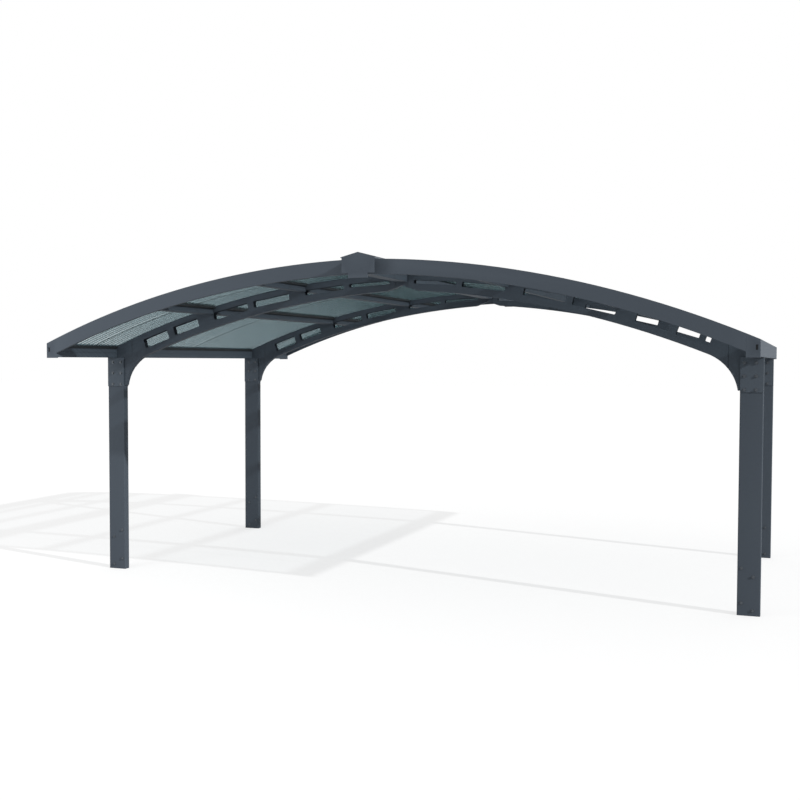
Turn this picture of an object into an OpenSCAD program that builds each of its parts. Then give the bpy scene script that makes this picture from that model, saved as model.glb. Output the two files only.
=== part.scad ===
// Double carport: an arched aluminium frame on four posts, with translucent roof sheets.
// X runs across the two parking bays, Y from front (-Y) to rear, Z up from the ground.
// Each half of the roof, called a wing, follows one arc from the ridge to the eave.
// "Depth" is measured square to that arc, downwards from the top of the fascia.

/* [Overall] */
// Width over the two eave gutters
span = 5760; // [5000:10:7000]
// Length between the front and rear fascia faces
roof_length = 4780; // [4200:10:6000]
// Height of the fascia top at the ridge
ridge_height = 2715; // [2600:5:3000]
// Height of the fascia top at the outer face of the gutter
eave_height = 2085; // [2050:5:2300]
// Radius of one wing of the roof
wing_radius = 7428; // [6000:10:9500]

/* [Posts] */
// Width of a post across the carport
post_w = 170; // [140:5:200]
// Thickness of a post along the carport
post_d = 70; // [60:5:80]
// Wall of the post tube
post_wall = 4; // [2:0.5:6]
// Outer corner radius of the post tube
post_corner = 8; // [5:1:12]
// Distance between the outer faces of the front and rear frames
frame_span = 2910; // [2400:10:3300]
// Setback of the posts from the outer face of the gutter
post_inset = 5; // [0:1:30]

/* [Eave gutters] */
// Width of the gutter
gutter_w = 95; // [80:1:120]
// Height of the gutter's underside, which is the top of the posts
gutter_z = 1966; // [1900:2:1990]
// Wall of the gutter
gutter_wall = 4; // [2:0.5:6]
// Drop of the gutter end caps below the gutter
cap_drop = 6; // [0:1:12]
// Width of the overflow slot in an end cap
overflow_w = 16; // [8:1:20]
// Height of the overflow slot in an end cap
overflow_h = 36; // [20:1:40]
// Height of the overflow slot's middle above the gutter's underside
overflow_z = 64; // [50:1:70]
// Distance of the overflow slot's middle from the outer face of the gutter
overflow_in = 24; // [20:1:40]

/* [Fascia] */
// Height of the fascia, square to the roof arc
fascia_h = 115; // [100:1:140]
// Thickness of the fascia
fascia_t = 30; // [20:1:40]
// Wall of the fascia tube
fascia_wall = 3; // [2:0.5:5]

/* [Roof sheets] */
// Thickness of a roof sheet
sheet_t = 16; // [10:1:16]
// Depth of the sheets' underside below the fascia top
sheet_depth = 50; // [40:1:60]
// Distance of the outer seams between sheets from the middle of the carport
seam_y = 1800; // [1500:10:1950]
// Gap between neighbouring sheets
sheet_gap = 6; // [2:1:10]
// How far the lowest sheet reaches over the gutter
sheet_reach = 20; // [10:1:40]

/* [Purlins and ridge] */
// Spacing of the purlins, measured level from the ridge
purlin_pitch = 910; // [800:5:1000]
// Width of a purlin
purlin_w = 40; // [30:1:60]
// Wall of the purlin tube
purlin_wall = 3; // [2:0.5:5]
// Width of the ridge beam
ridge_w = 100; // [80:2:110]
// Wall of the ridge beam
ridge_wall = 3; // [2:0.5:5]
// Width of the upstand on the ridge beam, between the sheets
upstand_w = 60; // [40:2:70]
// Height of the ridge cover's peak above the fascia top
cover_rise = 44; // [40:1:60]
// Width of the ridge cover
cover_w = 190; // [170:1:230]
// Gap between the fascia top and the ridge cover at the cover's edges
cover_gap = 4.6; // [2:0.2:10]
// Thickness of the ridge cover
cover_t = 6; // [3:0.5:8]
// Gap between the ridge cover's lips and the sheets
lip_gap = 2; // [1:1:8]
// How far the ridge end caps stand in front of the fascia
ridge_reach = 95; // [60:1:120]
// Width of a ridge end cap over its rim
ridge_cap_w = 283; // [250:1:320]
// Thickness of the wide plate of a ridge end cap
ridge_cap_t = 14; // [8:1:30]
// Setback of a ridge end cap's sides from its rim
ridge_cap_in = 10; // [4:1:20]
// Width of the lower part of a ridge end cap
ridge_tail_w = 158; // [100:1:170]
// Height of the lower part of a ridge end cap
ridge_tail_h = 36; // [20:1:50]

/* [Arch beams] */
// Thickness of an arch beam along the carport
beam_d = 60; // [50:1:68]
// Wall of the arch beam
beam_wall = 4; // [3:0.5:6]
// Height from the fascia top to the beam's lower edge at the ridge
beam_drop_ridge = 183; // [160:1:220]
// Height from the fascia top to the beam's lower edge near the knee
beam_drop_knee = 257; // [230:1:300]
// Radius of the beam's lower edge
beam_radius = 7500; // [6000:10:9500]
// Thickness of the ridge joints and the knees along the carport
joint_d = 50; // [40:1:58]
// Width of a ridge joint
ridge_joint_w = 114; // [110:2:160]
// Height of the ridge notch's point above the beam's lower edge
notch_h = 46; // [20:1:60]
// Half width of the ridge notch
notch_w = 128; // [60:1:180]

/* [Beam slots] */
// Depth of the slots' upper edges
slot_top = 103; // [100:1:108]
// Height of the beam's rim below the slots
slot_rim = 58; // [50:1:64]
// Corner radius of a slot
slot_corner = 9; // [4:1:10]
// Distance from the ridge to the first slot
ridge_slot_start = 115; // [100:1:140]
// Distance from a purlin line to the next bay's first slot
slot_start = 146; // [100:1:180]
// Distance from a bay's second slot to its lower purlin line
slot_end = 10; // [5:1:40]
// Gap between the two slots of a bay
slot_gap = 55; // [40:1:80]
// Distance from the last slot to the joint between beam and knee
slot_to_knee = 71; // [40:1:120]

/* [Knees] */
// Radius of the knee
knee_radius = 360; // [250:5:450]
// Width of the knee's toe against the post
knee_toe = 12; // [8:1:30]
// Height of the toe's end below the top of the post
knee_drop = 254; // [200:2:262]
// Distance from the post to the joint between knee and beam
knee_reach = 90; // [60:1:150]
// Height of the cheek plates on the post
cheek_h = 266; // [220:2:320]
// Thickness of a cheek plate
cheek_t = 5; // [3:0.5:8]

/* [Hidden] */

frame_grey = "#4c545c";
sheet_grey = "#7f9088";
arc_sides = 1440;
bend_sides = 180;
corner_sides = 32;
left = -1;
right = 1;
front = -1;
rear = 1;
// How far a cut runs past a face that it opens
over = 1;

half_span = span / 2;
half_length = roof_length / 2;
gutter_in = half_span - gutter_w;
post_out = half_span - post_inset;
post_in = post_out - post_w;
frame_y = (frame_span - post_d) / 2;
fascia_in = half_length - fascia_t;

// Centre of an arc of radius r that rises from low to high, both points [x, z], with its middle below
function arc_centre(high, low, r) =
  let (run = low - high, chord = norm(run), away = sqrt(r * r - chord * chord / 4) / chord)
  (high + low) / 2 + away * [run[1], -run[0]];

// Height of an arc at x
function arc_z(centre, r, x) = centre[1] + sqrt(r * r - pow(x - centre[0], 2));

wing_centre = arc_centre([0, ridge_height], [half_span, eave_height], wing_radius);
function roof_z(x, depth = 0) = arc_z(wing_centre, wing_radius - depth, x);
function roof_angle(x) = asin((x - wing_centre[0]) / wing_radius);

// The beam's lower edge is an arc through its heights at the ridge and near the knee
knee_x = post_in - knee_toe - knee_radius;
belly_end = [knee_x, roof_z(knee_x) - beam_drop_knee];
belly_centre = arc_centre([0, ridge_height - beam_drop_ridge], belly_end, beam_radius);
// The knee's arc touches both that lower edge and the post side of the toe
knee_z = arc_z(belly_centre, beam_radius - knee_radius, knee_x);
knee_lean = ([knee_x, knee_z] - belly_centre) / (beam_radius - knee_radius);

notch_z = arc_z(belly_centre, beam_radius, notch_w) + notch_h;
toe_z = gutter_z - knee_drop;
knee_start = post_in - knee_reach;
cover_peak = ridge_height + cover_rise;
ridge_under = roof_z(0, fascia_h);

// Extrudes an outline drawn in X and Z along Y, centred on y
module along_y(y, thick) {
  translate([0, y, 0]) rotate([90, 0, 0]) linear_extrude(thick, center = true) children();
}

// Places a right-hand piece on the left or the right wing
module on_side(side) {
  if (side == right) children();
  else mirror([1, 0, 0]) children();
}

module rounded_rect(w, h, r) {
  square([w - 2 * r, h], center = true);
  square([w, h - 2 * r], center = true);
  for (i = [-1, 1], j = [-1, 1])
    translate([i * (w / 2 - r), j * (h / 2 - r)]) circle(r, $fn = corner_sides);
}

// A disc with a corner of its drawn outline at the given x, where another outline meets it
module arc_disc(centre, r, x, sides = arc_sides) {
  translate(centre) rotate(-asin((x - centre[0]) / r)) circle(r, $fn = sides);
}

// Everything below the roof line by at least the given depth
module below_roof(depth, x) {
  arc_disc(wing_centre, wing_radius - depth, x);
}

// The outline between two depths below the roof line, from x0 to x1
module roof_band(top, bottom, x0, x1) {
  intersection() {
    difference() {
      below_roof(top, x0);
      below_roof(bottom, x1);
    }
    translate([x0, 0]) square([x1 - x0, cover_peak]);
  }
}

// Places children, drawn about their middle, square to the roof line at x
module on_roof(x, depth) {
  translate(wing_centre) rotate(-roof_angle(x)) translate([0, wing_radius - depth]) children();
}

// The open space below the arch beam and inside the post, grown by the given amount
module under_arch(grow = 0) {
  belly = beam_radius + grow;
  intersection() {
    arc_disc(belly_centre, belly, 0);
    polygon([
      [-notch_w, 0], [knee_x, 0], [knee_x, knee_z],
      belly_centre + knee_lean * (belly + knee_radius), [-notch_w, ridge_height]
    ]);
  }
  arc_disc([knee_x, knee_z], knee_radius + grow, knee_x, bend_sides);
  square([knee_x + knee_radius + grow, knee_z]);
  // The notch at the ridge, whose sides run on past the lower edge into the open
  polygon([
    [-notch_w * 2, notch_z + grow - notch_h * 2],
    [0, notch_z + grow],
    [notch_w * 2, notch_z + grow - notch_h * 2]
  ]);
}

// The arch outline from x0 to x1, cut back all round by the given amount
module arch_outline(x0, x1, cut = 0) {
  difference() {
    intersection() {
      below_roof(sheet_depth + cut, x0);
      translate([x0, 0]) square([x1 - x0, cover_peak]);
    }
    under_arch(cut);
  }
}

module post(side, end) {
  color(frame_grey)
    on_side(side)
      translate([(post_in + post_out) / 2, end * frame_y, 0])
        difference() {
          linear_extrude(gutter_z) rounded_rect(post_w, post_d, post_corner);
          translate([0, 0, post_wall])
            linear_extrude(gutter_z)
              rounded_rect(post_w - 2 * post_wall, post_d - 2 * post_wall, post_corner - post_wall);
        }
}

// The knee plate between arch beam and post, with the cheek plates that clasp the post
module knee(side, end) {
  toe = post_in - knee_x - sqrt(pow(knee_radius, 2) - pow(toe_z + knee_toe - knee_z, 2));
  color(frame_grey)
    on_side(side) {
      along_y(end * frame_y, joint_d) {
        difference() {
          arch_outline(knee_start, gutter_in);
          translate([post_in, 0]) square([post_w, gutter_z]);
          translate([knee_start, 0]) square([knee_reach, toe_z + toe / 2]);
        }
        translate([post_in - toe / 2, toe_z + toe / 2]) circle(toe / 2, $fn = corner_sides);
      }
      for (face = [-1, 1])
        along_y(end * frame_y + face * (post_d + cheek_t) / 2, cheek_t)
          translate([(post_in + post_out) / 2, gutter_z - cheek_h / 2])
            square([post_w, cheek_h], center = true);
    }
}

// The two slots that share the stretch from x0 to x1, each as [middle, length]
function bay_slots(x0, x1) =
  let (length = (x1 - x0 - slot_gap) / 2)
  [[x0 + length / 2, length], [x1 - length / 2, length]];

// Height of the slot whose middle is at x, a whole number that the beam's height there decides
function slot_height(x) =
  let (beam_h = (roof_z(x) - arc_z(belly_centre, beam_radius, x)) * cos(roof_angle(x)))
  round((beam_h - slot_top - slot_rim) / 2) * 2;

beam_slots = concat(
  bay_slots(ridge_slot_start, purlin_pitch - slot_end),
  bay_slots(purlin_pitch + slot_start, purlin_pitch * 2 - slot_end),
  bay_slots(purlin_pitch * 2 + slot_start, knee_start - slot_to_knee)
);

module arch_beam(side, end) {
  ridge_end = ridge_joint_w / 2;
  color(frame_grey)
    on_side(side)
      difference() {
        along_y(end * frame_y, beam_d) arch_outline(ridge_end, knee_start);
        along_y(end * frame_y, beam_d - 2 * beam_wall)
          arch_outline(ridge_end - over, knee_start + over, beam_wall);
        along_y(end * frame_y, beam_d + 2 * over)
          for (s = beam_slots)
            on_roof(s[0], slot_top + slot_height(s[0]) / 2)
              rounded_rect(s[1], slot_height(s[0]), slot_corner);
      }
}

module ridge_joint(end) {
  color(frame_grey)
    along_y(end * frame_y, joint_d) {
      arch_outline(0, ridge_joint_w / 2);
      mirror([1, 0]) arch_outline(0, ridge_joint_w / 2);
    }
}

// The stretches of a lengthwise member between the fascias and the frames' faces
function stretches(frame_d) = [
  [-fascia_in, -frame_y - frame_d / 2],
  [-frame_y + frame_d / 2, frame_y - frame_d / 2],
  [frame_y + frame_d / 2, fascia_in]
];

// The section of a purlin whose middle is at x, cut back all round by the given amount
module purlin_outline(x, cut = 0) {
  intersection() {
    difference() {
      below_roof(sheet_depth + cut, x);
      below_roof(fascia_h - cut, x);
    }
    on_roof(x, (sheet_depth + fascia_h) / 2)
      square([purlin_w - 2 * cut, fascia_h], center = true);
  }
}

module purlin(side, row) {
  color(frame_grey)
    on_side(side)
      for (s = stretches(beam_d))
        along_y((s[0] + s[1]) / 2, s[1] - s[0])
          difference() {
            purlin_outline(purlin_pitch * row);
            purlin_outline(purlin_pitch * row, purlin_wall);
          }
}

// Height at x of the underside of a pitched plate of width w, which clears the fascia's top
function under_pitch(w, x) =
  let (peak = cover_peak - cover_t, edge = roof_z(w / 2) + cover_gap)
  peak - (peak - edge) * abs(x) / (w / 2);

module pitched_plate(w) {
  peak = under_pitch(w, 0);
  edge = under_pitch(w, w / 2);
  polygon([
    [-w / 2, edge], [0, peak], [w / 2, edge],
    [w / 2, edge + cover_t], [0, peak + cover_t], [-w / 2, edge + cover_t]
  ]);
}

// A house-shaped outline that fits under a pitched plate of the given width
module gable(w, bottom, gap = 0, plate_w = cover_w) {
  peak = under_pitch(plate_w, 0) - gap;
  eaves = under_pitch(plate_w, w / 2) - gap;
  polygon([[-w / 2, bottom], [w / 2, bottom], [w / 2, eaves], [0, peak], [-w / 2, eaves]]);
}

// The section of the ridge beam, cut back all round by the given amount
module ridge_outline(cut = 0) {
  intersection() {
    translate([-ridge_w / 2 + cut, ridge_under + cut]) square([ridge_w - 2 * cut, fascia_h]);
    below_roof(sheet_depth + cut, ridge_w / 2);
    mirror([1, 0]) below_roof(sheet_depth + cut, ridge_w / 2);
  }
  gable(upstand_w - 2 * cut, ridge_under + cut, cut);
}

module ridge_beam() {
  color(frame_grey)
    for (s = stretches(joint_d))
      along_y((s[0] + s[1]) / 2, s[1] - s[0])
        difference() {
          ridge_outline();
          ridge_outline(ridge_wall);
        }
}

// A pitched cover plate, with a lip down each side between the fascias
module ridge_cover() {
  edge = cover_w / 2;
  lip_x = edge - cover_t;
  lip_z = roof_z(lip_x, sheet_depth - sheet_t) + lip_gap;
  // The lips' tops lie inside the plate, so that plate and lips are one piece
  lip_top = under_pitch(cover_w, edge) + cover_t / 2;
  color(frame_grey) {
    along_y(0, (half_length + ridge_reach - ridge_cap_t) * 2) pitched_plate(cover_w);
    for (side = [left, right])
      on_side(side)
        along_y(0, fascia_in * 2)
          polygon([
            [lip_x, lip_z], [edge, lip_z], [edge, lip_top], [lip_x, lip_top]
          ]);
  }
}

// A ridge end cap: a box under the cover's end, closed by a wide plate with a pitched rim
module ridge_cap(end) {
  plate_y = half_length + ridge_reach - ridge_cap_t / 2;
  color(frame_grey) {
    along_y(end * (half_length + plate_y) / 2, plate_y - half_length) gable(ridge_w, ridge_under);
    along_y(end * plate_y, ridge_cap_t) {
      gable(ridge_cap_w - 2 * ridge_cap_in, ridge_under, -cover_t / 2, ridge_cap_w);
      pitched_plate(ridge_cap_w);
      translate([-ridge_tail_w / 2, ridge_under - ridge_tail_h])
        square([ridge_tail_w, ridge_tail_h + over]);
    }
  }
}

module gutter(side) {
  color(frame_grey)
    on_side(side)
      along_y(0, fascia_in * 2) {
        translate([gutter_in, gutter_z]) square([gutter_w, gutter_wall]);
        intersection() {
          translate([gutter_in, gutter_z]) square([gutter_wall, eave_height]);
          below_roof(sheet_depth, gutter_in);
        }
        intersection() {
          translate([half_span - gutter_wall, gutter_z]) square([gutter_wall, eave_height]);
          below_roof(0, half_span);
        }
      }
}

module gutter_cap(side, end) {
  color(frame_grey)
    on_side(side)
      along_y(end * (half_length - fascia_t / 2), fascia_t)
        difference() {
          intersection() {
            translate([gutter_in, gutter_z - cap_drop]) square([gutter_w, eave_height]);
            below_roof(0, gutter_in);
          }
          translate([half_span - overflow_in, gutter_z + overflow_z])
            square([overflow_w, overflow_h], center = true);
        }
}

module fascia(side, end) {
  mid = end * (half_length - fascia_t / 2);
  color(frame_grey)
    on_side(side)
      difference() {
        along_y(mid, fascia_t) roof_band(0, fascia_h, 0, gutter_in);
        along_y(mid, fascia_t - 2 * fascia_wall)
          roof_band(fascia_wall, fascia_h - fascia_wall, -over, gutter_in + over);
      }
}

// Upper and lower ends of the sheets in each bay, counted from the ridge
sheet_ends = [
  [upstand_w / 2, purlin_pitch - sheet_gap / 2],
  [purlin_pitch + sheet_gap / 2, purlin_pitch * 2 - sheet_gap / 2],
  [purlin_pitch * 2 + sheet_gap / 2, gutter_in + sheet_reach]
];
seams = [-fascia_in - sheet_gap / 2, -seam_y, 0, seam_y, fascia_in + sheet_gap / 2];

module roof_sheets(side, bay) {
  color(sheet_grey)
    on_side(side)
      for (i = [0 : len(seams) - 2])
        along_y((seams[i] + seams[i + 1]) / 2, seams[i + 1] - seams[i] - sheet_gap)
          roof_band(sheet_depth - sheet_t, sheet_depth, sheet_ends[bay][0], sheet_ends[bay][1]);
}

post(left, front);  // post_front_left
post(right, front);  // post_front_right
post(left, rear);  // post_rear_left
post(right, rear);  // post_rear_right
knee(left, front);  // knee_front_left
knee(right, front);  // knee_front_right
knee(left, rear);  // knee_rear_left
knee(right, rear);  // knee_rear_right
arch_beam(left, front);  // arch_beam_front_left
arch_beam(right, front);  // arch_beam_front_right
arch_beam(left, rear);  // arch_beam_rear_left
arch_beam(right, rear);  // arch_beam_rear_right
ridge_joint(front);  // ridge_joint_front
ridge_joint(rear);  // ridge_joint_rear
purlin(left, 2);  // purlin_left_lower
purlin(left, 1);  // purlin_left_upper
purlin(right, 2);  // purlin_right_lower
purlin(right, 1);  // purlin_right_upper
ridge_beam();
ridge_cover();
ridge_cap(front);  // ridge_cap_front
ridge_cap(rear);  // ridge_cap_rear
gutter(left);  // gutter_left
gutter(right);  // gutter_right
gutter_cap(left, front);  // gutter_cap_front_left
gutter_cap(right, front);  // gutter_cap_front_right
gutter_cap(left, rear);  // gutter_cap_rear_left
gutter_cap(right, rear);  // gutter_cap_rear_right
fascia(left, front);  // fascia_front_left
fascia(right, front);  // fascia_front_right
fascia(left, rear);  // fascia_rear_left
fascia(right, rear);  // fascia_rear_right
roof_sheets(left, 2);  // roof_sheets_left_eave
roof_sheets(left, 1);  // roof_sheets_left_middle
roof_sheets(left, 0);  // roof_sheets_left_ridge
roof_sheets(right, 2);  // roof_sheets_right_eave
roof_sheets(right, 1);  // roof_sheets_right_middle
roof_sheets(right, 0);  // roof_sheets_right_ridge
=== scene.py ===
"""Double carport: finishes, bevelled sections, ribbed roof sheets, seals, fixings and the studio.

Everything is in metres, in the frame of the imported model: X across the two parking bays,
Y from front (-Y) to rear, Z up from the ground.
"""

import logging
import math
from collections.abc import Callable, Iterable, Sequence
from dataclasses import dataclass, field
from enum import Enum

import bmesh
import bpy
from mathutils import Euler, Matrix, Vector

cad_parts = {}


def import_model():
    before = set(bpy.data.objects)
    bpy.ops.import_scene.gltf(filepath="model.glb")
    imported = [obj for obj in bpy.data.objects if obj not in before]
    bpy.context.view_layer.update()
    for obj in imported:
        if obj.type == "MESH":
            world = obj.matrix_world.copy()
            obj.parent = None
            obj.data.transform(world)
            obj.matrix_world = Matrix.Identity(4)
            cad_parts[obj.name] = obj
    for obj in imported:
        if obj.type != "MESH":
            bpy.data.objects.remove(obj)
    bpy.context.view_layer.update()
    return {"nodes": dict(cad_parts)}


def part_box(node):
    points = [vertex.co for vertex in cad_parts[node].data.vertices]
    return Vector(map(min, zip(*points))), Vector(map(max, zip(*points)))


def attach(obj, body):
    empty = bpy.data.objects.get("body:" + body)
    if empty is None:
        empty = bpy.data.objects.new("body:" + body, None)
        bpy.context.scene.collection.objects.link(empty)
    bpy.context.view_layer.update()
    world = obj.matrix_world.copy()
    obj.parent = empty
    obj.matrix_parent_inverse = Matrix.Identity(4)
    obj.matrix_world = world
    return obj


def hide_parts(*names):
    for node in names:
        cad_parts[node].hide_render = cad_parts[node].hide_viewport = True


LOG = logging.getLogger("carport")
ROOT_BODY = "root"
MM = 0.001
# Keeps a rounded-down quotient of whole numbers from falling one short
INDEX_NUDGE = 1e-4

Colour = tuple[float, float, float]
Point = tuple[float, float, float]


class Slot(Enum):
    """Material slots of the record."""

    FRAME = "frame_paint"
    SHEET = "roof_sheet"


class Side(Enum):
    """The two wings of the roof, by the sign of X."""

    LEFT = -1
    RIGHT = 1


class End(Enum):
    """The two ends of the carport, by the sign of Y."""

    FRONT = -1
    REAR = 1


def linear(hex_colour: str) -> Colour:
    """Turn a hex colour into linear RGB.

    Args:
        hex_colour: Six hex digits, red first.

    Returns:
        The three linear channels.
    """
    channels = [int(hex_colour[i : i + 2], 16) / 255 for i in (0, 2, 4)]
    return tuple(c / 12.92 if c <= 0.04045 else ((c + 0.055) / 1.055) ** 2.4 for c in channels)


# ---------------------------------------------------------------- node trees


class Value:
    """An output socket whose arithmetic operators add Math nodes to its tree."""

    def __init__(self, graph: "Graph", socket: bpy.types.NodeSocket) -> None:
        """Wrap a socket of a graph's tree."""
        self.graph = graph
        self.socket = socket

    def output(self, name: str) -> "Value":
        """Another output of the same node, by name."""
        return Value(self.graph, self.socket.node.outputs[name])

    def __add__(self, other: "Value | float") -> "Value":
        """Sum."""
        return self.graph.math("ADD", self, other)

    def __sub__(self, other: "Value | float") -> "Value":
        """Difference."""
        return self.graph.math("SUBTRACT", self, other)

    def __rsub__(self, other: float) -> "Value":
        """Difference from a number."""
        return self.graph.math("SUBTRACT", other, self)

    def __mul__(self, other: "Value | float") -> "Value":
        """Product."""
        return self.graph.math("MULTIPLY", self, other)

    def __truediv__(self, other: "Value | float") -> "Value":
        """Quotient."""
        return self.graph.math("DIVIDE", self, other)

    __radd__ = __add__
    __rmul__ = __mul__


class Graph:
    """Adds nodes to a shader or geometry tree."""

    def __init__(self, tree: bpy.types.NodeTree) -> None:
        """Start from an empty tree."""
        self.tree = tree
        tree.nodes.clear()

    def add(
        self,
        kind: str,
        settings: dict[str, object] | None = None,
        inputs: dict[str | int, object] | None = None,
    ) -> Value:
        """Add one node.

        Args:
            kind: The node's type.
            settings: Its properties, set before its sockets.
            inputs: Values or links of its input sockets, by name or index.

        Returns:
            The node's first output.
        """
        node = self.tree.nodes.new(kind)
        for name, value in (settings or {}).items():
            setattr(node, name, value)
        for key, value in (inputs or {}).items():
            if isinstance(value, Value):
                self.tree.links.new(value.socket, node.inputs[key])
            else:
                node.inputs[key].default_value = value
        return Value(self, node.outputs[0]) if node.outputs else None

    def math(self, operation: str, *operands: "Value | float") -> Value:
        """Add a Math node of the given operation."""
        return self.add("ShaderNodeMath", {"operation": operation}, dict(enumerate(operands)))

    def in_sight(self) -> Value:
        """1 on rays from the camera, and on those that a gloss or glass sends on."""
        path = self.add("ShaderNodeLightPath")
        glossy, through = path.output("Is Glossy Ray"), path.output("Is Transmission Ray")
        mirrored = self.math("MAXIMUM", glossy, through)
        return self.math("MAXIMUM", path.output("Is Camera Ray"), mirrored)


class ShaderGraph(Graph):
    """The tree of one material."""

    def __init__(self, name: str) -> None:
        """Make a material of that name with an empty tree."""
        self.material = bpy.data.materials.new(name)
        self.material.use_nodes = True
        super().__init__(self.material.node_tree)

    def mix(self, factor: Value, low: Colour | Value, high: Colour | Value) -> Value:
        """Blend two colours.

        Args:
            factor: Share of the second colour.
            low: Colour at 0.
            high: Colour at 1.

        Returns:
            The blended colour.
        """
        ends = {6: low, 7: high}
        sockets = {k: c if isinstance(c, Value) else (*c, 1.0) for k, c in ends.items()}
        node = self.add("ShaderNodeMix", {"data_type": "RGBA"}, {0: factor, **sockets})
        return Value(self, node.socket.node.outputs[2])

    def noise(self, scale: float, detail: float, place: Value) -> Value:
        """Add a noise texture with features of about 1 / scale metres."""
        sockets = {"Vector": place, "Scale": scale, "Detail": detail}
        return self.add("ShaderNodeTexNoise", {"noise_dimensions": "3D"}, sockets)

    def place(self, stretch: Point = (1.0, 1.0, 1.0)) -> Value:
        """Object coordinates, stretched along each axis."""
        source = self.add("ShaderNodeTexCoord").output("Object")
        return self.add("ShaderNodeMapping", None, {"Vector": source, "Scale": stretch})

    def bump(self, height: Value, distance: float, strength: float = 1.0) -> Value:
        """Turn a height from 0 to 1 into a normal."""
        sockets = {"Height": height, "Distance": distance, "Strength": strength}
        return self.add("ShaderNodeBump", None, sockets)

    def surface(self, shader: Value) -> bpy.types.Material:
        """Send a shader to the output and return the finished material."""
        self.add("ShaderNodeOutputMaterial", None, {"Surface": shader})
        return self.material


# ---------------------------------------------------------------- finishes


@dataclass(frozen=True)
class PowderCoat:
    """Satin powder coat on aluminium, with a fine grain and a trace of dust."""

    name: str = "powder_coat"
    colour: Colour = linear("414851")
    dust: Colour = linear("4d555b")
    edge: Colour = linear("59626b")
    roughness: float = 0.66
    specular: float = 0.14
    cloud_scale: float = 2.3
    speck_scale: float = 70.0
    grain_size: float = 1.4 * MM
    grain_depth: float = 0.03 * MM
    settled_base: float = 0.12
    settled_specks: float = 0.25
    wear_start: float = 0.53
    wear_gain: float = 9.0

    def material(self) -> bpy.types.Material:
        """Build the material."""
        graph = ShaderGraph(self.name)
        place = graph.place()
        clouds = graph.noise(self.cloud_scale, 4.0, place)
        specks = graph.noise(self.speck_scale, 6.0, place)
        grain = graph.noise(1 / self.grain_size, 1.0, place)
        geometry = graph.add("ShaderNodeNewGeometry")
        up = graph.add("ShaderNodeSeparateXYZ", None, {0: geometry.output("Normal")}).output("Z")
        dust_share = self.settled_base + self.settled_specks * specks
        settled = graph.math("MAXIMUM", up, 0.0) * dust_share
        ridges = (geometry.output("Pointiness") - self.wear_start) * self.wear_gain
        worn = graph.math("SMOOTH_MAX", ridges, 0.0, 0.05)
        base = graph.mix(clouds * 0.3 + specks * 0.12, self.colour, self.dust)
        dusty = graph.mix(settled, base, self.dust)
        tone = graph.mix(graph.math("MINIMUM", worn, 0.5), dusty, self.edge)
        shader = graph.add(
            "ShaderNodeBsdfPrincipled",
            None,
            {
                "Base Color": tone,
                "Roughness": (self.roughness - 0.05) + 0.12 * specks,
                "Specular IOR Level": self.specular,
                "Normal": graph.bump(grain, self.grain_depth, 0.6),
            },
        )
        return graph.surface(shader)


@dataclass(frozen=True)
class Polycarbonate:
    """Smoke-tinted clear sheet, one skin thick, with painted shade on the flanks of its ribs.

    Both faces of the skin let tinted light through, and a share of each is a matt film that
    scatters light from either side.
    """

    name: str = "smoke_polycarbonate"
    clear: Colour = (0.825, 0.855, 0.865)
    glow: Colour = linear("8aa2a6")
    colour: Colour = linear("60777c")
    film: Colour = linear("7a9095")
    # Painted shade: the darker colour that every rib flank takes, standing in for the shade on the
    # flanks
    flank: Colour = linear("566a6f")
    haze: float = 0.14
    # Extra matt share on the rib flanks, part of their painted shade
    flank_haze: float = 0.03
    cloud_haze: float = 0.05
    cloud_scale: float = 0.9
    cloud_stretch: Point = (0.5, 1.6, 1.0)
    scatter: float = 0.5
    roughness: float = 0.22

    def material(self) -> bpy.types.Material:
        """Build the material."""
        graph = ShaderGraph(self.name)
        clouds = graph.noise(self.cloud_scale, 3.0, graph.place(self.cloud_stretch))
        geometry = graph.add("ShaderNodeNewGeometry")
        lean = graph.add("ShaderNodeSeparateXYZ", None, {0: geometry.output("Normal")}).output("Y")
        # Painted shade mask: 1 on the rib flanks, which take the darker flank colour and a larger
        # matt share
        flank_shade_mask = graph.math("ABSOLUTE", lean)
        face = graph.mix(clouds * 0.6, self.colour, self.film)
        film = graph.add(
            "ShaderNodeBsdfPrincipled",
            None,
            {
                "Base Color": graph.mix(flank_shade_mask, face, self.flank),
                "Roughness": self.roughness + 0.1 * clouds,
                "Specular IOR Level": 0.5,
            },
        )
        passed = graph.add("ShaderNodeBsdfTranslucent", None, {"Color": (*self.glow, 1.0)})
        clear = graph.add("ShaderNodeBsdfTransparent", None, {"Color": (*self.clear, 1.0)})
        hazy = graph.add("ShaderNodeMixShader", None, {0: self.scatter, 1: film, 2: passed})
        share = self.haze + self.flank_haze * flank_shade_mask + self.cloud_haze * (clouds - 0.5)
        return graph.surface(graph.add("ShaderNodeMixShader", None, {0: share, 1: clear, 2: hazy}))


@dataclass(frozen=True)
class Rubber:
    """Black foam rubber of the seals."""

    name: str = "seal_rubber"
    colour: Colour = linear("1a1d20")
    worn: Colour = linear("2b2f32")
    pore_scale: float = 600.0
    bloom_scale: float = 14.0

    def material(self) -> bpy.types.Material:
        """Build the material."""
        graph = ShaderGraph(self.name)
        place = graph.place()
        pores = graph.noise(self.pore_scale, 2.0, place)
        bloom = graph.noise(self.bloom_scale, 4.0, place)
        shader = graph.add(
            "ShaderNodeBsdfPrincipled",
            None,
            {
                "Base Color": graph.mix(bloom, self.colour, self.worn),
                "Roughness": 0.65 + 0.2 * pores,
                "Specular IOR Level": 0.25,
                "Normal": graph.bump(pores, 0.2 * MM, 0.6),
            },
        )
        return graph.surface(shader)


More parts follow.
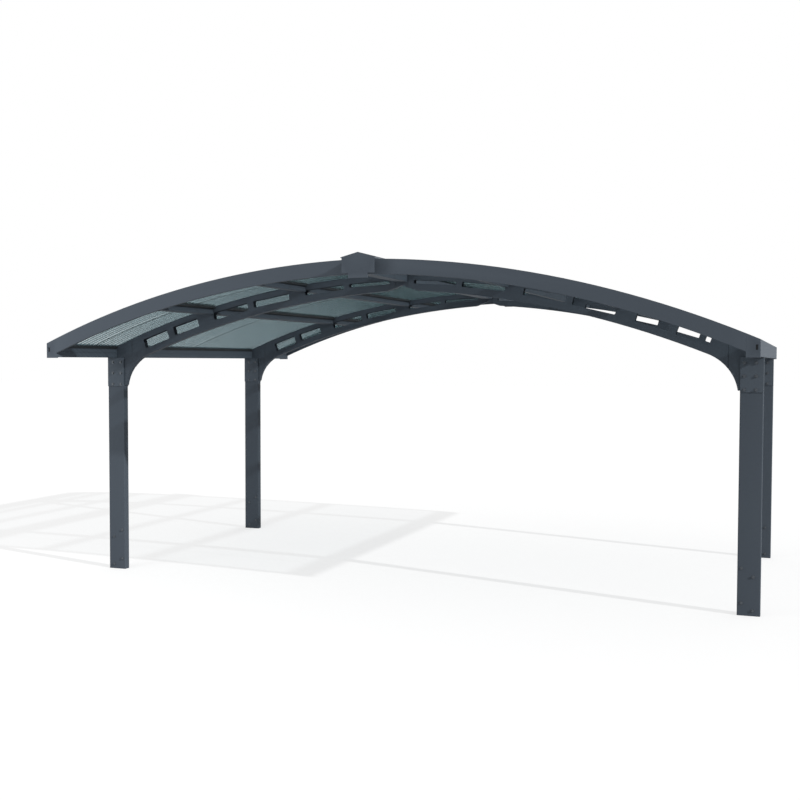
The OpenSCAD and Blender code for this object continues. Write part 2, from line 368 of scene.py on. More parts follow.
@dataclass(frozen=True)
class BlackZinc:
    """Black-passivated steel of the bolts."""

    name: str = "black_zinc"
    colour: Colour = linear("3a4047")
    rubbed: Colour = linear("565c62")
    metallic: float = 0.3
    mark_scale: float = 260.0
    patch_scale: float = 45.0

    def material(self) -> bpy.types.Material:
        """Build the material."""
        graph = ShaderGraph(self.name)
        place = graph.place()
        marks = graph.noise(self.mark_scale, 4.0, place)
        patches = graph.noise(self.patch_scale, 3.0, place)
        shader = graph.add(
            "ShaderNodeBsdfPrincipled",
            None,
            {
                "Base Color": graph.mix(patches * 0.6, self.colour, self.rubbed),
                "Metallic": self.metallic,
                "Roughness": 0.34 + 0.2 * marks,
                "Normal": graph.bump(marks, 0.05 * MM, 0.5),
            },
        )
        return graph.surface(shader)


@dataclass(frozen=True)
class PaleFloor:
    """Studio floor: white with a faint shadow where it is seen or mirrored, darker elsewhere."""

    name: str = "studio_floor"
    colour: Colour = (0.95, 0.95, 0.95)
    bounce: Colour = (0.32, 0.32, 0.33)
    shadow_share: float = 0.36

    def material(self) -> bpy.types.Material:
        """Build the material."""
        graph = ShaderGraph(self.name)
        seen = graph.in_sight()
        tone = graph.mix(seen, self.bounce, self.colour)
        matt = graph.add("ShaderNodeBsdfDiffuse", None, {"Color": tone})
        white = graph.add("ShaderNodeEmission", None, {"Color": (1.0, 1.0, 1.0, 1.0)})
        factor = seen * (1.0 - self.shadow_share)
        lit = graph.add("ShaderNodeMixShader", None, {0: factor, 1: matt, 2: white})
        return graph.surface(lit)


# ---------------------------------------------------------------- meshes


def publish(
    name: str,
    mesh: bpy.types.Mesh,
    material: bpy.types.Material,
    nodes: Sequence[str] = (),
) -> bpy.types.Object:
    """Put a finished mesh in the scene as a piece that rides on the root body.

    Args:
        name: The piece's name.
        mesh: Its mesh, already in place.
        material: Its finish.
        nodes: CAD nodes that it stands for.

    Returns:
        The piece.
    """
    mesh.name = name
    mesh.materials.clear()
    mesh.materials.append(material)
    piece = bpy.data.objects.new(name, mesh)
    bpy.context.scene.collection.objects.link(piece)
    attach(piece, ROOT_BODY)
    if nodes:
        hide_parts(*nodes)
    LOG.info("%s: %d faces", name, len(mesh.polygons))
    return piece


def baked(mesh: bpy.types.Mesh, dress: Callable[[bpy.types.Object], None]) -> bpy.types.Mesh:
    """Apply modifiers to a mesh.

    Args:
        mesh: The mesh to start from.
        dress: Adds the modifiers to a carrier object.

    Returns:
        The evaluated mesh, with no modifier left.
    """
    carrier = bpy.data.objects.new("carrier", mesh)
    bpy.context.scene.collection.objects.link(carrier)
    dress(carrier)
    graph = bpy.context.evaluated_depsgraph_get()
    result = bpy.data.meshes.new_from_object(carrier.evaluated_get(graph), depsgraph=graph)
    bpy.data.objects.remove(carrier)
    return result


def smooth(mesh: bpy.types.Mesh, angle: float = 35.0) -> bpy.types.Mesh:
    """Shade a mesh smooth, apart from edges sharper than an angle in degrees."""
    mesh.polygons.foreach_set("use_smooth", [True] * len(mesh.polygons))
    mesh.set_sharp_from_angle(angle=math.radians(angle))
    return mesh


@dataclass
class Bevel:
    """Rounds the sharp edges of a mesh, with a larger radius on the edges along one axis."""

    width: float = 1.5 * MM
    long_width: float | None = None
    axis: int = 1
    segments: int = 2
    sharp_angle: float = 30.0

    def __call__(self, mesh: bpy.types.Mesh) -> bpy.types.Mesh:
        """Bevel a mesh.

        Args:
            mesh: A closed mesh.

        Returns:
            The bevelled copy, shaded smooth.
        """
        widest = max(self.width, self.long_width or 0.0)
        work = bmesh.new()
        work.from_mesh(mesh)
        layer = work.edges.layers.float.new("bevel_weight_edge")
        for edge in work.edges:
            if edge.is_manifold and edge.calc_face_angle() > math.radians(self.sharp_angle):
                run = edge.verts[1].co - edge.verts[0].co
                is_long = self.long_width and abs(run[self.axis]) > 0.99 * run.length
                edge[layer] = (self.long_width if is_long else self.width) / widest
        work.to_mesh(mesh)
        work.free()

        def dress(carrier: bpy.types.Object) -> None:
            """Add the Bevel modifier.

            Args:
                carrier: The object that takes it.
            """
            smooth(carrier.data)
            bevel = carrier.modifiers.new("bevel", "BEVEL")
            bevel.limit_method = "WEIGHT"
            bevel.width = widest
            bevel.segments = self.segments
            bevel.use_clamp_overlap = False
            bevel.harden_normals = True

        return baked(mesh, dress)


def solid_of(node: str) -> bpy.types.Mesh:
    """Copy a CAD node's mesh with its triangles joined into whole faces.

    Args:
        node: The CAD node's name.

    Returns:
        The copy.
    """
    work = bmesh.new()
    work.from_mesh(bpy.data.objects[node].data)
    bmesh.ops.remove_doubles(work, verts=work.verts, dist=0.01 * MM)
    bmesh.ops.dissolve_limit(
        work, angle_limit=math.radians(0.2), verts=work.verts, edges=work.edges
    )
    mesh = bpy.data.meshes.new(node)
    work.to_mesh(mesh)
    work.free()
    return mesh


class Loft:
    """A mesh made of closed loops of points, joined in order and capped at both ends."""

    def __init__(self) -> None:
        """Start with no solids."""
        self.work = bmesh.new()

    def add(self, loops: Sequence[Sequence[Point]]) -> None:
        """Add one solid.

        Args:
            loops: Its cross-sections, each with the same number of points.
        """
        rings = [[self.work.verts.new(p) for p in loop] for loop in loops]
        for low, high in zip(rings, rings[1:]):
            for i, vert in enumerate(low):
                j = (i + 1) % len(low)
                self.work.faces.new((vert, low[j], high[j], high[i]))
        self.work.faces.new(reversed(rings[0]))
        self.work.faces.new(rings[-1])

    def mesh(self, name: str) -> bpy.types.Mesh:
        """Close the work and return its mesh, with normals outwards."""
        bmesh.ops.recalc_face_normals(self.work, faces=self.work.faces)
        made = bpy.data.meshes.new(name)
        self.work.to_mesh(made)
        self.work.free()
        return made


# ---------------------------------------------------------------- the roof's form


@dataclass(frozen=True)
class Wing:
    """The arc of the right wing's fascia top, in X and Z. The left wing mirrors it."""

    centre: Vector
    radius: float

    @classmethod
    def from_frame(cls) -> "Wing":
        """Work the arc out from three points on top of the right front fascia.

        Returns:
            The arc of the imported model.
        """
        node = "fascia_front_right"
        low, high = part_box(node)
        tops = {}
        for vert in bpy.data.objects[node].data.vertices:
            x = round(vert.co.x, 5)
            tops[x] = max(tops.get(x, 0.0), vert.co.z)
        middle = min(
            (x for x, z in tops.items() if z > high.z - (high.x - x) / 2),
            key=lambda x: abs(x - high.x / 2),
        )
        first, second, third = (Vector((x, tops[x])) for x in sorted(tops) if x in (
            min(tops), middle, max(tops)))
        (ax, az), (bx, bz) = second - first, third - first
        cross = 2 * (ax * bz - az * bx)
        p, q = (second - first).length_squared, (third - first).length_squared
        away = Vector(((bz * p - az * q) / cross, (ax * q - bx * p) / cross))
        return cls(first + away, away.length)

    def angle(self, x: float) -> float:
        """Lean of the roof's normal from upright at a distance from the middle."""
        return math.asin((abs(x) - self.centre.x) / self.radius)

    def point(self, x: float, y: float, depth: float) -> Point:
        """A point straight above or below x, at a depth square to the arc."""
        radius = self.radius - depth
        return (x, y, self.centre.y + math.sqrt(radius**2 - (abs(x) - self.centre.x) ** 2))

    def lean(self, x: float, y: float, along: float, depth: float) -> Point:
        """A point beside x.

        Args:
            x: Where the local axes stand.
            y: The point's Y.
            along: Distance from there down the slope.
            depth: Distance below the arc.

        Returns:
            The point.
        """
        angle = self.angle(x)
        side = math.copysign(1.0, x)
        across = self.centre.x + (self.radius - depth) * math.sin(angle) + along * math.cos(angle)
        up = self.centre.y + (self.radius - depth) * math.cos(angle) - along * math.sin(angle)
        return (side * across, y, up)

    def normal(self, x: float) -> Vector:
        """The roof's outward normal at x."""
        angle = self.angle(x)
        return Vector((math.copysign(math.sin(angle), x), 0.0, math.cos(angle)))

    def depths(self, node: str) -> tuple[float, float]:
        """Least and greatest depth of a CAD node's corners below the arc."""
        found = [
            self.radius - (Vector((abs(v.co.x), v.co.z)) - self.centre).length
            for v in bpy.data.objects[node].data.vertices
        ]
        return min(found), max(found)


# ---------------------------------------------------------------- geometry nodes


class GeometryTree(Graph):
    """A geometry tree with named number inputs, used once on a carrier mesh."""

    def __init__(self, name: str, numbers: dict[str, float]) -> None:
        """Make the tree.

        Args:
            name: The tree's name.
            numbers: Its inputs and their values.
        """
        tree = bpy.data.node_groups.new(name, "GeometryNodeTree")
        super().__init__(tree)
        self.numbers = numbers
        tree.interface.new_socket("Geometry", in_out="INPUT", socket_type="NodeSocketGeometry")
        tree.interface.new_socket("Geometry", in_out="OUTPUT", socket_type="NodeSocketGeometry")
        self.sockets = {
            key: tree.interface.new_socket(key, in_out="INPUT", socket_type="NodeSocketFloat")
            for key in numbers
        }
        self.start = self.add("NodeGroupInput")

    def number(self, key: str) -> Value:
        """The value of a named input."""
        return self.start.output(key)

    def vector(self, x: object = 0.0, y: object = 0.0, z: object = 0.0) -> Value:
        """Combine three numbers or values."""
        return self.add("ShaderNodeCombineXYZ", None, {"X": x, "Y": y, "Z": z})

    def moved(self, geometry: Value, shift: Value) -> Value:
        """Move a geometry."""
        return self.add(
            "GeometryNodeTransform", None, {"Geometry": geometry, "Translation": shift}
        )

    def joined(self, parts: Iterable[Value]) -> Value:
        """Join geometries."""
        join = self.add("GeometryNodeJoinGeometry")
        for part in parts:
            self.tree.links.new(part.socket, join.socket.node.inputs[0])
        return join

    def finish(
        self, geometry: Value, material: bpy.types.Material, carrier_mesh: bpy.types.Mesh
    ) -> bpy.types.Mesh:
        """Realize the tree on a carrier.

        Args:
            geometry: What the tree makes.
            material: Its finish.
            carrier_mesh: The mesh that goes into the tree.

        Returns:
            A plain mesh.
        """
        real = self.add("GeometryNodeRealizeInstances", None, {0: geometry})
        dressed = self.add("GeometryNodeSetMaterial", None, {0: real, "Material": material})
        self.add("NodeGroupOutput", None, {0: dressed})

        def dress(carrier: bpy.types.Object) -> None:
            """Add the tree as a modifier and set its inputs by identifier."""
            modifier = carrier.modifiers.new(self.tree.name, "NODES")
            modifier.node_group = self.tree
            for key, value in self.numbers.items():
                modifier[self.sockets[key].identifier] = float(value)

        return baked(carrier_mesh, dress)


def marker_mesh(name: str, places: Sequence[Point], facings: Sequence[Vector]) -> bpy.types.Mesh:
    """Make loose points that each face a direction.

    Args:
        name: The mesh's name.
        places: The points.
        facings: A unit vector for each.

    Returns:
        A mesh with a "facing" attribute.
    """
    mesh = bpy.data.meshes.new(name)
    mesh.from_pydata(places, [], [])
    layer = mesh.attributes.new("facing", "FLOAT_VECTOR", "POINT")
    layer.data.foreach_set("vector", [c for facing in facings for c in facing])
    return mesh


def on_markers(tree: GeometryTree, shape: Value, spin: bool) -> Value:
    """Stand a shape on every marker.

    Args:
        tree: The tree in which to do it.
        shape: The shape, standing on its local Z axis.
        spin: Whether each copy gets its own turn about that axis.

    Returns:
        The instances.
    """
    facing = tree.add(
        "GeometryNodeInputNamedAttribute", {"data_type": "FLOAT_VECTOR"}, {"Name": "facing"}
    )
    turn = tree.add(
        "FunctionNodeAlignRotationToVector", {"axis": "Z"}, {"Factor": 1.0, "Vector": facing}
    )
    stood = tree.add(
        "GeometryNodeInstanceOnPoints",
        None,
        {"Points": tree.start, "Instance": shape, "Rotation": turn},
    )
    if not spin:
        return stood
    chance = tree.add("FunctionNodeRandomValue", {"data_type": "FLOAT"}, {"Seed": 11})
    angle = Value(tree, chance.socket.node.outputs[1])
    local = tree.vector(z=angle * math.tau)
    return tree.add("GeometryNodeRotateInstances", None, {0: stood, "Rotation": local})


# ---------------------------------------------------------------- sub-assemblies


@dataclass
class PaintedMember:
    """One coated member of the frame: its CAD form with rounded edges."""

    node: str
    bevel: Bevel = field(default_factory=Bevel)

    def build(self, paint: bpy.types.Material) -> bpy.types.Object:
        """Make the piece that stands for the CAD node.

        Args:
            paint: The coat.

        Returns:
            The piece.
        """
        mesh = self.bevel(solid_of(self.node))
        return publish(f"{self.node}_coated", mesh, paint, [self.node])


@dataclass
class RoofSheets:
    """The ribbed sheets of one bay, each a thin corrugated skin between two seams."""

    node: str
    wing: Wing
    rib_pitch: float = 60 * MM
    flank: float = 9 * MM
    crest_share: float = 0.5
    skin: float = 1.6 * MM
    steps: int = 14
    crease_angle: float = 25.0

    def __post_init__(self) -> None:
        """Read the sheets' places from the CAD node."""
        low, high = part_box(self.node)
        self.side = Side.RIGHT if high.x > 0 else Side.LEFT
        self.inner, self.outer = sorted((abs(low.x), abs(high.x)))
        self.top, self.under = self.wing.depths(self.node)
        edges = sorted({round(v.co.y, 4) for v in bpy.data.objects[self.node].data.vertices})
        self.spans = list(zip(edges[::2], edges[1::2]))

    def ribs(self, span: tuple[float, float]) -> tuple[int, float]:
        """Number and pitch of the ribs between two seams."""
        width = span[1] - span[0]
        count = round(width / self.rib_pitch)
        return count, width / count

    def crests(self, span: tuple[float, float]) -> list[float]:
        """Y of the middle of every rib's crest between two seams."""
        count, pitch = self.ribs(span)
        middle = (pitch - 2 * self.flank) * self.crest_share / 2 + self.flank
        return [span[0] + pitch * i + middle for i in range(count)]

    def sheet(self, span: tuple[float, float], material: bpy.types.Material) -> bpy.types.Mesh:
        """Make one corrugated sheet.

        Args:
            span: The sheet's two edges in Y.
            material: Its finish.

        Returns:
            The sheet as a closed mesh.
        """
        count, pitch = self.ribs(span)
        columns = 4 * count + 1
        tree = GeometryTree(
            "ribbed_sheet",
            {
                "Edge": span[0],
                "Pitch": pitch,
                "Flank": self.flank,
                "Crest": (pitch - 2 * self.flank) * self.crest_share,
                "Height": self.under - self.top - self.skin,
                "Radius": self.wing.radius - self.under,
                "Inner": self.inner,
                "Outer": self.outer,
            },
        )
        grid = tree.add(
            "GeometryNodeMeshGrid", None, {"Vertices X": self.steps, "Vertices Y": columns}
        )
        index = tree.add("GeometryNodeInputIndex")
        row = tree.math("FLOOR", index / columns + INDEX_NUDGE)
        column = index - row * columns
        rib = tree.math("FLOOR", column * 0.25 + INDEX_NUDGE)
        phase = column - rib * 4.0
        rising = tree.math("MINIMUM", phase, 1.0)
        on_top = tree.math("MINIMUM", tree.math("MAXIMUM", phase - 1.0, 0.0), 1.0)
        falling = tree.math("MAXIMUM", phase - 2.0, 0.0)
        flank, crest = tree.number("Flank"), tree.number("Crest")
        y = tree.number("Edge") + rib * tree.number("Pitch")
        y = y + flank * (rising + falling) + crest * on_top
        lift = (rising - falling) * tree.number("Height")
        inner, outer = tree.number("Inner"), tree.number("Outer")
        x = inner + (outer - inner) * row / (self.steps - 1)
        run = x - self.wing.centre.x
        radius = tree.number("Radius") + lift
        z = tree.math("SQRT", radius * radius - run * run) + self.wing.centre.y
        place = tree.vector(x * float(self.side.value), y, z)
        formed = tree.add("GeometryNodeSetPosition", None, {"Geometry": grid, "Position": place})
        skin = tree.finish(formed, material, bpy.data.meshes.new("sheet_carrier"))
        work = bmesh.new()
        work.from_mesh(skin)
        if sum(f.normal.z for f in work.faces) < 0:
            bmesh.ops.reverse_faces(work, faces=work.faces)
        work.to_mesh(skin)
        work.free()

        def thicken(carrier: bpy.types.Object) -> None:
            """Give the skin its thickness, upwards.

            Args:
                carrier: The object that holds it.
            """
            solid = carrier.modifiers.new("skin", "SOLIDIFY")
            solid.thickness = self.skin
            solid.offset = 1.0

        return baked(skin, thicken)

    def build(self, material: bpy.types.Material) -> bpy.types.Object:
        """Make the bay's sheets as one piece.

        Args:
            material: The sheet's finish.

        Returns:
            The piece.
        """
        work = bmesh.new()
        for span in self.spans:
            work.from_mesh(self.sheet(span, material))
        mesh = bpy.data.meshes.new(self.node)
        work.to_mesh(mesh)
        work.free()
        mesh = smooth(mesh, self.crease_angle)
        return publish(f"{self.node}_ribbed", mesh, material, [self.node])


@dataclass
class CombSeal:
    """A rubber strip over a purlin, with a tooth under every rib."""

    name: str
    wing: Wing
    x: float
    rows: list[RoofSheets]
    stretches: list[tuple[float, float]]
    width: float = 50 * MM
    drop: float = 17 * MM
    tooth_share: float = 0.62
    tooth_narrowing: float = 0.72

    def build(self, material: bpy.types.Material) -> bpy.types.Object:
        """Make the strip and its teeth as one piece.

        Args:
            material: The rubber.

        Returns:
            The piece.
        """
        sheets = self.rows[0]
        under, rise = sheets.under, sheets.under - sheets.top - sheets.skin
        body = Loft()
        half = self.width / 2
        corners = [(-half, 0.0), (half, 0.0), (half, self.drop), (-half, self.drop)]
        for start, end in self.stretches:
            body.add([
                [self.wing.lean(self.x, y, along, under + depth) for along, depth in corners]
                for y in (start, end)
            ])
        places, facings = [], []
        for span in sheets.spans:
            for y in sheets.crests(span):
                if any(start < y < end for start, end in self.stretches):
                    places.append(self.wing.lean(self.x, y, 0.0, under))
                    facings.append(self.wing.normal(self.x))
        tree = GeometryTree(
            "comb_teeth",
            {
                "Width": self.width,
                "Tooth": sheets.rib_pitch * self.tooth_share,
                "Rise": rise - 1.0 * MM,
            },
        )
        rise_value = tree.number("Rise")
        tooth_length = tree.number("Tooth") * self.tooth_narrowing
        cube = tree.add(
            "GeometryNodeMeshCube",
            None,
            {"Size": tree.vector(tree.number("Width"), tooth_length, rise_value)},
        )
        tooth = tree.moved(cube, tree.vector(z=rise_value * 0.5))
        teeth = tree.finish(
            on_markers(tree, tooth, False), material, marker_mesh(self.name, places, facings)
        )
        work = bmesh.new()
        work.from_mesh(body.mesh("seal_body"))
        work.from_mesh(teeth)
        mesh = bpy.data.meshes.new(self.name)
        work.to_mesh(mesh)
        work.free()
        return publish(self.name, mesh, material)


@dataclass
class SeamStrips:
    """Thin dark strips that close the seams between neighbouring sheets from below."""

    side: Side
    wing: Wing
    bays: list[RoofSheets]
    width: float = 9 * MM
    thickness: float = 2.0 * MM
    steps: int = 10

    def build(self, material: bpy.types.Material) -> bpy.types.Object:
        """Make the strips of one wing as one piece.

        Args:
            material: The rubber.

        Returns:
            The piece.
        """
        loft = Loft()
        for bay in self.bays:
            for (_, left), (right, _) in zip(bay.spans, bay.spans[1:]):
                middle = (left + right) / 2
                depths = (bay.under, bay.under - self.thickness)
                corners = [(-1, depths[0]), (1, depths[0]), (1, depths[1]), (-1, depths[1])]
                xs = [
                    bay.inner + (bay.outer - bay.inner) * i / (self.steps - 1)
                    for i in range(self.steps)
                ]
                loft.add([
                    [
                        self.wing.point(self.side.value * x, middle + s * self.width / 2, d)
                        for s, d in corners
                    ]
                    for x in xs
                ])
        name = f"seam_strips_{self.side.name.lower()}"
        return publish(name, smooth(loft.mesh(name)), material)


@dataclass
class GutterTrim:
    """The seal and the raised line on the inner face of an eave gutter."""

    side: Side
    wing: Wing
    sheets: RoofSheets
    stretches: list[tuple[float, float]]
    seal_proud: float = 6 * MM
    seal_drop: float = 26 * MM
    line_up: float = 44 * MM
    line_height: float = 5 * MM
    line_proud: float = 3 * MM

    def bar(self, low: float, high: float, proud: float) -> Loft:
        """A bar along the gutter's inner face.

        Args:
            low: Its lower edge in Z.
            high: Its upper edge in Z.
            proud: How far it stands off the face.

        Returns:
            The bar in the stretches between the frames.
        """
        face = self.face()
        front = face - proud
        corners = [(face, low), (front, low), (front, high), (face, high)]
        loft = Loft()
        for start, end in self.stretches:
            loft.add([[(self.side.value * x, y, z) for x, z in corners] for y in (start, end)])
        return loft

    def face(self) -> float:
        """Distance of the gutter's inner face from the middle."""
        low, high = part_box(f"gutter_{self.side.name.lower()}")
        return min(abs(low.x), abs(high.x))

    def build(self, paint: bpy.types.Material, rubber: bpy.types.Material) -> None:
        """Make the seal and the line.

        Args:
            paint: The coat of the line.
            rubber: The finish of the seal.
        """
        low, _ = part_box(f"gutter_{self.side.name.lower()}")
        label = self.side.name.lower()
        _, _, top = self.wing.point(self.face(), 0.0, self.sheets.under)
        seal = self.bar(top - self.seal_drop, top + 1.0 * MM, self.seal_proud)
        mesh = Bevel(1.2 * MM)(seal.mesh("gutter_seal"))
        publish(f"gutter_seal_{label}", mesh, rubber)
        line_low = low.z + self.line_up
        line = self.bar(line_low, line_low + self.line_height, self.line_proud)
        mesh = Bevel(0.8 * MM)(line.mesh("gutter_line"))
        publish(f"gutter_line_{label}", mesh, paint)


@dataclass
class OverflowSlotShade:
    """Black rubber fillers set back in the overflow slots of the gutter end caps: painted shade
    that stands in for the dark inside of the slots.
    """

    setback: float = 5 * MM
    thickness: float = 3 * MM
    slot_in: float = 24 * MM
    slot_up: float = 70 * MM
    slot_width: float = 16 * MM
    slot_height: float = 36 * MM

    def build(self, rubber: bpy.types.Material) -> bpy.types.Object:
        """Make the four fillers as one piece.

        Args:
            rubber: Their finish.

        Returns:
            The piece.
        """
        # Painted shade: a black filler in each slot, where only the shade inside the slot is dark
        loft = Loft()
        for side in Side:
            for end in End:
                low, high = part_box(f"gutter_cap_{end.name.lower()}_{side.name.lower()}")
                outer = max(abs(low.x), abs(high.x)) - self.slot_in
                face = max(abs(low.y), abs(high.y)) - self.setback
                middle = low.z + self.slot_up
                corners = [
                    (outer + i * self.slot_width / 2, middle + j * self.slot_height / 2)
                    for i, j in ((-1, -1), (1, -1), (1, 1), (-1, 1))
                ]
                loft.add([
                    [(side.value * x, end.value * y, z) for x, z in corners]
                    for y in (face, face - self.thickness)
                ])
        return publish("overflow_flaps", loft.mesh("overflow_flaps"), rubber)


@dataclass
class Bolts:
    """Hexagon bolts with washers through the posts, at the cheek plates and at the feet."""

    head_width: float = 17 * MM
    head_height: float = 8 * MM
    washer: float = 28 * MM
    washer_height: float = 2.2 * MM
    washer_sides: int = 28
    washer_taper: float = 0.96
    head_sides: int = 6
    chamfer_share: float = 0.2
    chamfer_taper: float = 0.86
    columns: tuple[float, float] = (30 * MM, 115 * MM)
    top_rows: tuple[float, ...] = (42 * MM, 143 * MM, 246 * MM)
    foot_rows: tuple[tuple[float, float], ...] = ((0.363, 0.097), (0.300, 0.042))
    markers: list[tuple[Point, Vector]] = field(default_factory=list)

    def collect(self) -> None:
        """Work out where every head stands, from the posts and cheek plates."""
        for side in Side:
            for end in End:
                label = f"{end.name.lower()}_{side.name.lower()}"
                low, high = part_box(f"post_{label}")
                plate_low, plate_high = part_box(f"knee_{label}")
                inner = min(abs(low.x), abs(high.x))
                for column, heights in zip(self.columns, self.foot_rows):
                    x = side.value * (inner + column)
                    for y, facing in ((plate_low.y, -1), (plate_high.y, 1)):
                        for down in self.top_rows:
                            self.markers.append(((x, y, high.z - down), Vector((0, facing, 0))))
                    for y, facing in ((low.y, -1), (high.y, 1)):
                        for up in heights:
                            self.markers.append(((x, y, up), Vector((0, facing, 0))))

    def build(self, zinc: bpy.types.Material) -> bpy.types.Object:
        """Make all heads and washers as one piece.

        Args:
            zinc: Their finish.

        Returns:
            The piece.
        """
        self.collect()
        places, facings = zip(*self.markers)
        tree = GeometryTree(
            "hexagon_bolt",
            {
                "Head Radius": self.head_width / 2 / math.cos(math.pi / 6),
                "Head Height": self.head_height,
                "Washer Radius": self.washer / 2,
                "Washer Height": self.washer_height,
            },
        )
        washer_height, head_height = tree.number("Washer Height"), tree.number("Head Height")
        radius = tree.number("Head Radius")
        prism_share = 1 - self.chamfer_share
        washer = tree.add(
            "GeometryNodeMeshCone",
            None,
            {
                "Vertices": self.washer_sides,
                "Radius Bottom": tree.number("Washer Radius"),
                "Radius Top": tree.number("Washer Radius") * self.washer_taper,
                "Depth": washer_height,
            },
        )
        prism = tree.add(
            "GeometryNodeMeshCylinder",
            None,
            {"Vertices": self.head_sides, "Radius": radius, "Depth": head_height * prism_share},
        )
        chamfer = tree.add(
            "GeometryNodeMeshCone",
            None,
            {
                "Vertices": self.head_sides,
                "Radius Bottom": radius,
                "Radius Top": radius * self.chamfer_taper,
                "Depth": head_height * self.chamfer_share,
            },
        )
        prism_up = tree.moved(prism, tree.vector(z=washer_height + head_height * prism_share / 2))
        chamfer_up = tree.moved(chamfer, tree.vector(z=washer_height + head_height * prism_share))
        bolt = tree.joined([washer, prism_up, chamfer_up])
        mesh = tree.finish(
            on_markers(tree, bolt, True), zinc, marker_mesh("bolt_markers", places, facings)
        )
        return publish("post_bolts", smooth(mesh, 30.0), zinc)


@dataclass
class Studio:
    """Floor, light and camera."""

    ambient: float = 0.72
    sun_strength: float = 2.7
    sun_softness: float = 0.8
    sun_travel: Point = (-0.95, 0.3, -0.49)
    fill_power: float = 110.0
    fill_size: float = 3.0
    fill_place: Point = (-4.6, -6.5, 2.2)
    fill_aim: Point = (-1.2, -1.4, 1.6)
    floor_size: float = 160.0
    camera_place: Point = (3.1614, -10.7528, 1.9295)
    camera_yaw: float = 21.29
    camera_pitch: float = -2.435
    camera_roll: float = 0.049
    lens: float = 52.505
    shift: tuple[float, float] = (0.0625, 0.0142)

    def floor(self) -> None:
        """Lay a plain pale floor."""
        work = bmesh.new()
        bmesh.ops.create_grid(work, x_segments=1, y_segments=1, size=self.floor_size / 2)
        mesh = bpy.data.meshes.new("floor")
        work.to_mesh(mesh)
        work.free()
        floor = bpy.data.objects.new("floor", mesh)
        mesh.materials.append(PaleFloor().material())
        bpy.context.scene.collection.objects.link(floor)

    def world(self) -> None:
        """Light the scene evenly, with a white background where it is seen or mirrored."""
        world = bpy.data.worlds.new("studio")
        bpy.context.scene.world = world
        world.use_nodes = True
        graph = Graph(world.node_tree)
        strength = self.ambient + (1.0 - self.ambient) * graph.in_sight()
        white = {"Color": (1.0, 1.0, 1.0, 1.0), "Strength": strength}
        background = graph.add("ShaderNodeBackground", None, white)
        graph.add("ShaderNodeOutputWorld", None, {"Surface": background})

    def sun(self) -> None:
        """Hang one soft lamp that shines from the right."""
        lamp = bpy.data.lights.new("key", "SUN")
        lamp.energy = self.sun_strength
        lamp.angle = math.radians(self.sun_softness)
        key = bpy.data.objects.new("key", lamp)
        key.rotation_euler = Vector(self.sun_travel).to_track_quat("-Z", "Y").to_euler()
        bpy.context.scene.collection.objects.link(key)

    def fill(self) -> None:
        """Stand one large soft lamp at the left front, out of sight of the camera."""
        lamp = bpy.data.lights.new("fill", "AREA")
        lamp.energy = self.fill_power
        lamp.size = self.fill_size
        fill = bpy.data.objects.new("fill", lamp)
        fill.location = self.fill_place
        aim = Vector(self.fill_aim) - Vector(self.fill_place)
        fill.rotation_euler = aim.to_track_quat("-Z", "Y").to_euler()
        fill.visible_camera = False
        bpy.context.scene.collection.objects.link(fill)

    def camera(self) -> None:
        """Set the camera."""
        data = bpy.data.cameras.new("camera")
        data.sensor_width = 36.0
        data.lens = self.lens
        data.shift_x, data.shift_y = self.shift
        data.clip_end = 500.0
        camera = bpy.data.objects.new("camera", data)
        turn = Matrix.Rotation(math.radians(self.camera_yaw), 4, "Z")
        tilt = Matrix.Rotation(math.radians(90.0 + self.camera_pitch), 4, "X")
        roll = Matrix.Rotation(math.radians(self.camera_roll), 4, "Z")
        camera.matrix_world = Matrix.Translation(self.camera_place) @ turn @ tilt @ roll
        bpy.context.scene.collection.objects.link(camera)
        bpy.context.scene.camera = camera

    def build(self) -> None:
        """Set up the whole studio."""
        self.camera()
        self.floor()
        self.world()
        self.sun()
        self.fill()
        bpy.context.scene.view_settings.view_transform = "Standard"


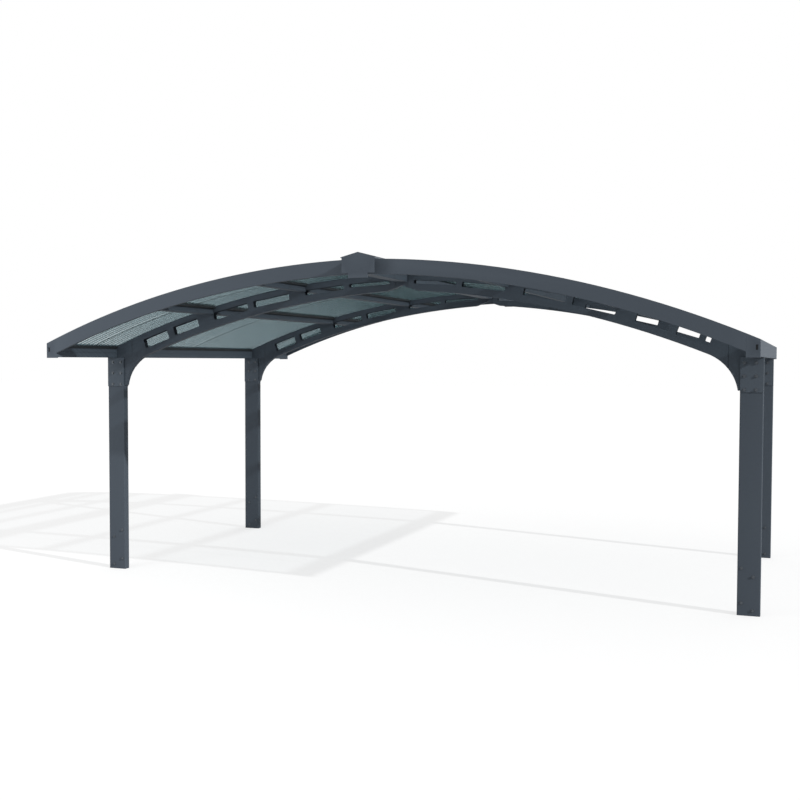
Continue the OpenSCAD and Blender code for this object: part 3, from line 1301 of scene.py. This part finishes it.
@dataclass
class Carport:
    """The whole carport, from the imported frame."""

    nodes: list[str]
    wing: Wing
    purlin_round: float = 7 * MM
    seal_overhang: float = 5 * MM

    def stretches(self) -> list[tuple[float, float]]:
        """Y ranges between the fascias and the arch beams.

        Returns:
            Start and end of each, from the front.
        """
        _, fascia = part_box("fascia_front_right")
        low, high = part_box("arch_beam_front_right")
        return [(fascia.y, low.y), (high.y, -high.y), (-low.y, -fascia.y)]

    def members(self, paint: bpy.types.Material) -> None:
        """Coat every metal member.

        Args:
            paint: The coat.
        """
        for node in self.nodes:
            if node.startswith("roof_sheets"):
                continue
            bevel = Bevel()
            if node.startswith("purlin"):
                bevel = Bevel(1.0 * MM, long_width=self.purlin_round, segments=3)
            elif node.startswith(("gutter_left", "gutter_right", "ridge_cover")):
                bevel = Bevel(1.0 * MM)
            PaintedMember(node, bevel).build(paint)

    def build(self) -> None:
        """Build every piece."""
        paint = PowderCoat().material()
        sheet = Polycarbonate().material()
        rubber = Rubber().material()
        zinc = BlackZinc().material()
        self.members(paint)
        between = self.stretches()
        for side in Side:
            label = side.name.lower()
            bays = [
                RoofSheets(f"roof_sheets_{label}_{bay}", self.wing)
                for bay in ("ridge", "middle", "eave")
            ]
            for bay in bays:
                bay.build(sheet)
            for row, name in enumerate(("upper", "lower")):
                low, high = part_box(f"purlin_{label}_{name}")
                comb = CombSeal(
                    f"comb_seal_{label}_{name}",
                    self.wing,
                    (low.x + high.x) / 2,
                    bays[row : row + 2],
                    between,
                    width=high.x - low.x + 2 * self.seal_overhang,
                )
                comb.build(rubber)
            SeamStrips(side, self.wing, bays).build(rubber)
            GutterTrim(side, self.wing, bays[-1], between).build(paint, rubber)
        OverflowSlotShade().build(rubber)
        Bolts().build(zinc)


def main() -> None:
    """Load the frame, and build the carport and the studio."""
    logging.basicConfig(level=logging.INFO, format="%(name)s %(message)s")
    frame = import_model()
    Studio().build()
    Carport(sorted(frame["nodes"]), Wing.from_frame()).build()


if __name__ == "__main__":
    main()
